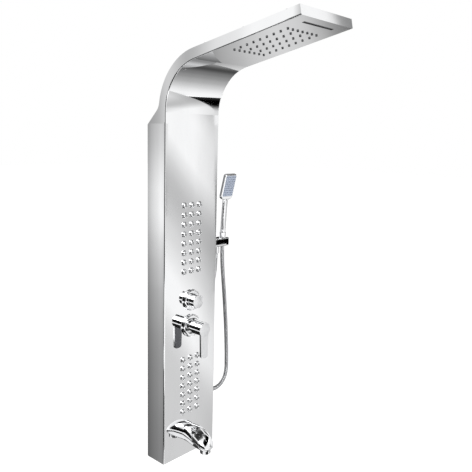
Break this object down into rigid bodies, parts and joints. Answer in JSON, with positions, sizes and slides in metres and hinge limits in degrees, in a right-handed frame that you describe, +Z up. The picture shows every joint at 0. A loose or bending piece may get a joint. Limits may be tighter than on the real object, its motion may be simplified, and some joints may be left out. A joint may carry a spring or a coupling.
{
  "type": "shower panel column",
  "caption": "Wall-hung steel shower panel with an overhanging rain head, waterfall slot, body jets, diverter, lever mixer, tub spout and a hand shower on a ribbed hose.",
  "frame": {"origin": "midpoint between the two screw holes of the upper wall bracket, on the wall plane", "axes": "+X to the right for a person facing the panel, +Y into the wall, +Z up"},
  "size_m": [0.3567, 0.5471, 1.3331],
  "materials": {
    "polished_steel": "mirror polished stainless steel",
    "plain_steel": "brushed stainless steel",
    "screw_steel": "satin steel",
    "chrome": "bright chrome",
    "brass": "satin brass",
    "white_plastic": "matt",
    "silicone": "matt silicone",
    "blue_grey_plastic": "satin",
    "black_rubber": "matt",
    "hose_metal": "bright ribbed metal"
  },
  "bodies": {
    "panel": {"panel_shell": "polished_steel", "bottom_cover": "polished_steel", "back_cover": "plain_steel", "upper_wall_bracket": "plain_steel", "lower_wall_bracket": "plain_steel", "upper_hanger_bar": "plain_steel", "lower_hanger_bar": "plain_steel", "cover_screws": "screw_steel", "chamber_nuts": "screw_steel", "hose_clips": "screw_steel", "upper_jet_domes": "chrome", "lower_jet_domes": "chrome", "diverter_escutcheon": "chrome", "diverter_collar": "chrome", "mixer_escutcheon": "chrome", "mixer_dome": "chrome", "spout_body": "chrome", "spout_aerator": "chrome", "holder_body": "chrome", "hose_nut": "chrome", "diverter_body": "brass", "diverter_nut": "brass", "mixer_body": "brass", "mixer_flange_nut": "brass", "cartridge_nut": "brass", "spout_nut": "brass", "spout_elbow": "brass", "holder_nut": "brass", "rain_chamber": "white_plastic", "waterfall_chute": "white_plastic", "upper_jet_manifold": "white_plastic", "lower_jet_manifold": "white_plastic", "aerator_screen": "white_plastic", "diverter_cartridge": "white_plastic", "mixer_cartridge": "white_plastic", "nozzle_mat": "silicone", "upper_jet_nozzles": "silicone", "lower_jet_nozzles": "silicone", "outlet_seal": "silicone", "rain_hose": "black_rubber", "waterfall_hose": "black_rubber", "upper_jet_hose": "black_rubber", "lower_jet_hose": "black_rubber", "spout_hose": "black_rubber", "handset_hose": "black_rubber", "shower_hose": "hose_metal"},
    "knob": {"diverter_knob": "chrome", "diverter_spindle": "brass", "knob_set_screw": "screw_steel"},
    "swing": {"cartridge_yoke": "white_plastic", "lever_pin": "screw_steel"},
    "lever": {"lever_stem": "brass", "lever_handle": "chrome", "handle_screw": "screw_steel"},
    "hose_end": {"cone_nut": "chrome", "handset_seal": "silicone"},
    "handset": {"handset_shell": "chrome", "handset_face": "blue_grey_plastic", "handset_nozzles": "silicone"}
  },
  "joints": [
    {"name": "diverter_turn", "type": "hinge", "parent": "panel", "child": "knob", "pos_m": [0, -0.079, -0.465], "axis": [0, -1, 0], "continuous": true},
    {"name": "mixer_swing", "type": "hinge", "parent": "panel", "child": "swing", "pos_m": [0, -0.079, -0.549], "axis": [0, -1, 0], "range_deg": [-45, 45]},
    {"name": "mixer_lift", "type": "hinge", "parent": "swing", "child": "lever", "pos_m": [0, -0.079, -0.549], "axis": [-1, 0, 0], "range_deg": [0, 22]},
    {"name": "handset_lift", "type": "slide", "parent": "panel", "child": "hose_end", "axis": [0, 0, 1], "range_m": [0, 0.1]},
    {"name": "handset_swivel", "type": "hinge", "parent": "hose_end", "child": "handset", "pos_m": [0.168, -0.05, -0.285], "axis": [0, 0, 1], "continuous": true}
  ]
}
